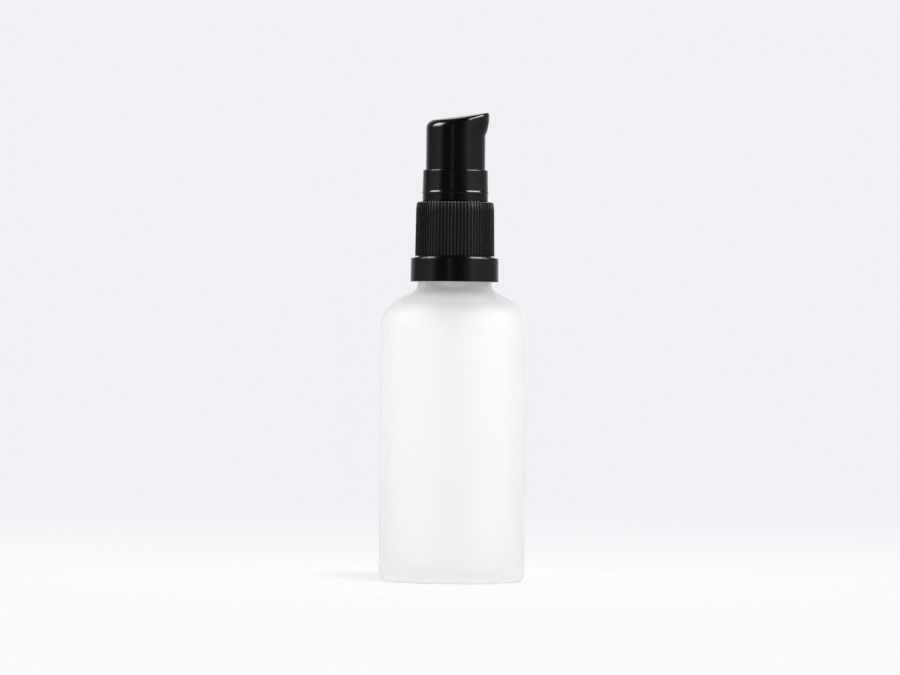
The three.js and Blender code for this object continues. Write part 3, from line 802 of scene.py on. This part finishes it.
# The same a little higher up, where the panels are brighter, as shares of their brightness.
ROOM_ABOVE = (
    (-180, 0.4), (-150, 0.2), (-125, 0.05), (-108, 0.05), (-102, 1.0), (-66, 1.0), (-58, 0.03), (42, 0.03),
    (50, 1.0), (100, 1.0), (108, 0.05), (130, 0.05), (150, 0.2), (180, 0.4),
)

# The light that falls on and through everything: strongest from the panels, weakest from the camera's side.
LIGHT_AROUND = (
    (-180, 0.87), (-115, 0.87), (-95, 0.97), (-65, 0.97), (-45, 0.7), (45, 0.7), (65, 0.94), (95, 0.94),
    (115, 0.87), (180, 0.87),
)


def softbox(name, azimuth, half_width, low, high, radiance, distance=0.9):
    """An upright even light that faces the bottle. Angles are in degrees: azimuth is from the camera's
    side, positive to its right, and low and high are its edges' elevations. Only reflections see it."""
    bearing = math.radians(azimuth)
    away = Vector((math.sin(bearing), -math.cos(bearing), 0))
    level = 0.1                     # the height in metres that the elevations are measured from
    bottom, top = (distance * math.tan(math.radians(angle)) for angle in (low, high))
    light = bpy.data.lights.new(name, "AREA")
    light.shape = "RECTANGLE"
    light.size = 2 * distance * math.tan(math.radians(half_width))
    light.size_y = top - bottom
    light.energy = math.pi * radiance * light.size * light.size_y
    lamp = bpy.data.objects.new(name, light)
    lamp.location = away * distance + Vector((0, 0, level + (bottom + top) / 2))
    lamp.rotation_euler = away.to_track_quat("Z", "Y").to_euler()
    lamp.visible_camera = False
    lamp.visible_transmission = False
    lamp.visible_diffuse = False
    bpy.context.scene.collection.objects.link(lamp)


def shadow_light(floor):
    """A soft light from above on the right that falls on the table alone, for the bottle's faint shadow."""
    bearing, elevation = math.radians(34), math.radians(68)
    toward = Vector((math.sin(bearing), -math.cos(bearing), math.tan(elevation)))
    light = bpy.data.lights.new("shadow_light", "SUN")
    light.energy = 1.1
    light.angle = math.radians(10)
    lamp = bpy.data.objects.new("shadow_light", light)
    lamp.rotation_euler = toward.to_track_quat("Z", "Y").to_euler()
    receivers = bpy.data.collections.new("lit_by_shadow_light")
    receivers.objects.link(floor)
    lamp.light_linking.receiver_collection = receivers
    bpy.context.scene.collection.objects.link(lamp)


def studio_world():
    """Seen directly, a pale lilac backdrop over a white table. In reflections, a dim room with two panels.
    To everything else, a white light that is strongest from both sides and grows weaker with height."""
    world = bpy.data.worlds.new("studio")
    bpy.context.scene.world = world
    world.use_nodes = True
    nodes, links = world.node_tree.nodes, world.node_tree.links
    direction = nodes.new("ShaderNodeTexCoord")
    parts = nodes.new("ShaderNodeSeparateXYZ")
    links.new(direction.outputs["Generated"], parts.inputs["Vector"])

    def math_node(operation, *values):
        node = nodes.new("ShaderNodeMath")
        node.operation = operation
        for socket, value in zip(node.inputs, values):
            if isinstance(value, (int, float)):
                socket.default_value = value
            else:
                links.new(value, socket)
        return node.outputs["Value"]

    def by_height(low, high, at_low, at_high):
        """Eases from one value to another as the direction's Z rises from low to high."""
        node = nodes.new("ShaderNodeMapRange")
        node.interpolation_type = "SMOOTHSTEP"
        for name, value in zip(("From Min", "From Max", "To Min", "To Max"), (low, high, at_low, at_high)):
            node.inputs[name].default_value = value
        links.new(parts.outputs["Z"], node.inputs["Value"])
        return node.outputs["Result"]

    def glow(color, strength=None):
        """A light whose colour is given by three values or by another node's output."""
        node = nodes.new("ShaderNodeBackground")
        if isinstance(color, tuple):
            node.inputs["Color"].default_value = (*color, 1)
        else:
            links.new(color, node.inputs["Color"])
        if strength:
            links.new(strength, node.inputs["Strength"])
        return node.outputs["Background"]

    def mixed(share, first, second):
        node = nodes.new("ShaderNodeMixShader")
        links.new(share, node.inputs["Fac"])
        links.new(first, node.inputs[1])
        links.new(second, node.inputs[2])
        return node.outputs["Shader"]

    def around(levels, strength):
        """A glow that follows the azimuth."""
        azimuth = math_node("ARCTAN2", parts.outputs["X"], math_node("MULTIPLY", parts.outputs["Y"], -1))
        ramp = nodes.new("ShaderNodeValToRGB")
        links.new(math_node("MULTIPLY_ADD", azimuth, 1 / TURN, 0.5), ramp.inputs["Fac"])
        stops = ramp.color_ramp.elements
        stops.remove(stops[1])
        for i, (degrees, level) in enumerate(levels):
            stop = stops.new(degrees / 360 + 0.5) if i else stops[0]
            stop.color = (level, level, level, 1)
        return glow(ramp.outputs["Color"], strength)

    level = around(ROOM, by_height(0.5, 0.85, 1.0, 0.15))
    above = around(ROOM_ABOVE, by_height(0.5, 0.85, 2.2, 0.3))
    room = mixed(by_height(0.03, 0.3, 0.0, 1.0), level, above)
    room = mixed(by_height(-0.48, -0.4, 0.0, 1.0), glow(TABLE), room)
    seen = mixed(by_height(-0.05, -0.034, 0.0, 1.0), glow(TABLE), glow(BACKDROP))
    light = around(LIGHT_AROUND, by_height(-0.6, 1.0, 1.58, 0.94))
    path = nodes.new("ShaderNodeLightPath")
    mirrored = math_node("SUBTRACT", path.outputs["Is Glossy Ray"], path.outputs["Is Transmission Ray"])
    unseen = mixed(mirrored, light, room)
    links.new(mixed(path.outputs["Is Camera Ray"], unseen, seen), nodes["World Output"].inputs["Surface"])


def studio_floor():
    """A small round patch of the white table, which takes the bottle's faint shadow. Most of its
    brightness is its own glow, which stands for an overexposed table. It fades out into the white."""
    rings, sides, fade_start = (0.02, 0.05, 0.08, 0.12), 96, 0.04
    mesh = bpy.data.meshes.new("floor")
    points = [(0, 0, 0)]
    faces = []
    for size in rings:
        for i in range(sides):
            angle = TURN * i / sides
            points.append((size * math.cos(angle), size * math.sin(angle), 0))
    for i in range(sides):
        ahead = (i + 1) % sides
        faces.append((0, 1 + i, 1 + ahead))
        for k in range(len(rings) - 1):
            start = 1 + k * sides
            faces.append((start + i, start + sides + i, start + sides + ahead, start + ahead))
    mesh.from_pydata(points, [], faces)
    floor = bpy.data.objects.new("floor", mesh)
    bpy.context.scene.collection.objects.link(floor)
    material = new_material(
        "table_white", FLOOR_COLOR, 0.9, Specular_IOR_Level=0.0, Emission_Color=(*FLOOR_GLOW, 1),
        Emission_Strength=1.0)
    nodes, links = material.node_tree.nodes, material.node_tree.links
    place = nodes.new("ShaderNodeTexCoord")
    distance = nodes.new("ShaderNodeVectorMath")
    distance.operation = "LENGTH"
    fade = nodes.new("ShaderNodeMapRange")
    fade.interpolation_type = "SMOOTHSTEP"
    fade.inputs["From Min"].default_value = fade_start
    fade.inputs["From Max"].default_value = rings[-1]
    links.new(place.outputs["Object"], distance.inputs[0])
    links.new(distance.outputs["Value"], fade.inputs["Value"])
    clear = nodes.new("ShaderNodeBsdfTransparent")
    mix = nodes.new("ShaderNodeMixShader")
    links.new(fade.outputs["Result"], mix.inputs["Fac"])
    links.new(nodes["Principled BSDF"].outputs["BSDF"], mix.inputs[1])
    links.new(clear.outputs["BSDF"], mix.inputs[2])
    links.new(mix.outputs["Shader"], nodes["Material Output"].inputs["Surface"])
    mesh.materials.append(material)
    floor.visible_transmission = False
    return floor


def studio_camera():
    """A long lens, level with the middle of the bottle, a little off level in roll."""
    camera = bpy.data.cameras.new("camera")
    camera.lens = 190
    camera.sensor_width = 36
    camera.clip_end = 20
    holder = bpy.data.objects.new("camera", camera)
    holder.location = (-0.001, -1.2037, 0.0617)
    holder.rotation_euler = (math.radians(90), math.radians(-0.55), 0)
    bpy.context.scene.collection.objects.link(holder)
    bpy.context.scene.camera = holder


# ---- Assembly -------------------------------------------------------------------------------------

studio_camera()
studio_world()
shadow_light(studio_floor())
softbox("softbox_left", -85, 20, 20, 50, 11.0)
softbox("softbox_right", 76, 27, 20, 54, 12.0)
bpy.context.scene.view_settings.view_transform = "Standard"

gloss = black_gloss()
satin = black_satin()
natural = natural_plastic()
soft = soft_plastic()
bright_steel = steel()

glass_bottle(frosted_glass(), clear_glass())
tamper_ring(satin)
ribbed_closure(black_matt())
guide_collar(gloss)
neck_gasket(soft)
pump_housing(natural)
chaplet(natural)
hollow_stem(natural)
piston_post(natural)
piston_seal(soft)
ball_cage(natural)
valve_ball("ball_inlet", "inlet_ball", bright_steel)
valve_ball("ball_outlet", "outlet_ball", bright_steel)
return_spring(bright_steel)
dip_tube(tube_plastic())
actuator(gloss)
nozzle_insert(satin)
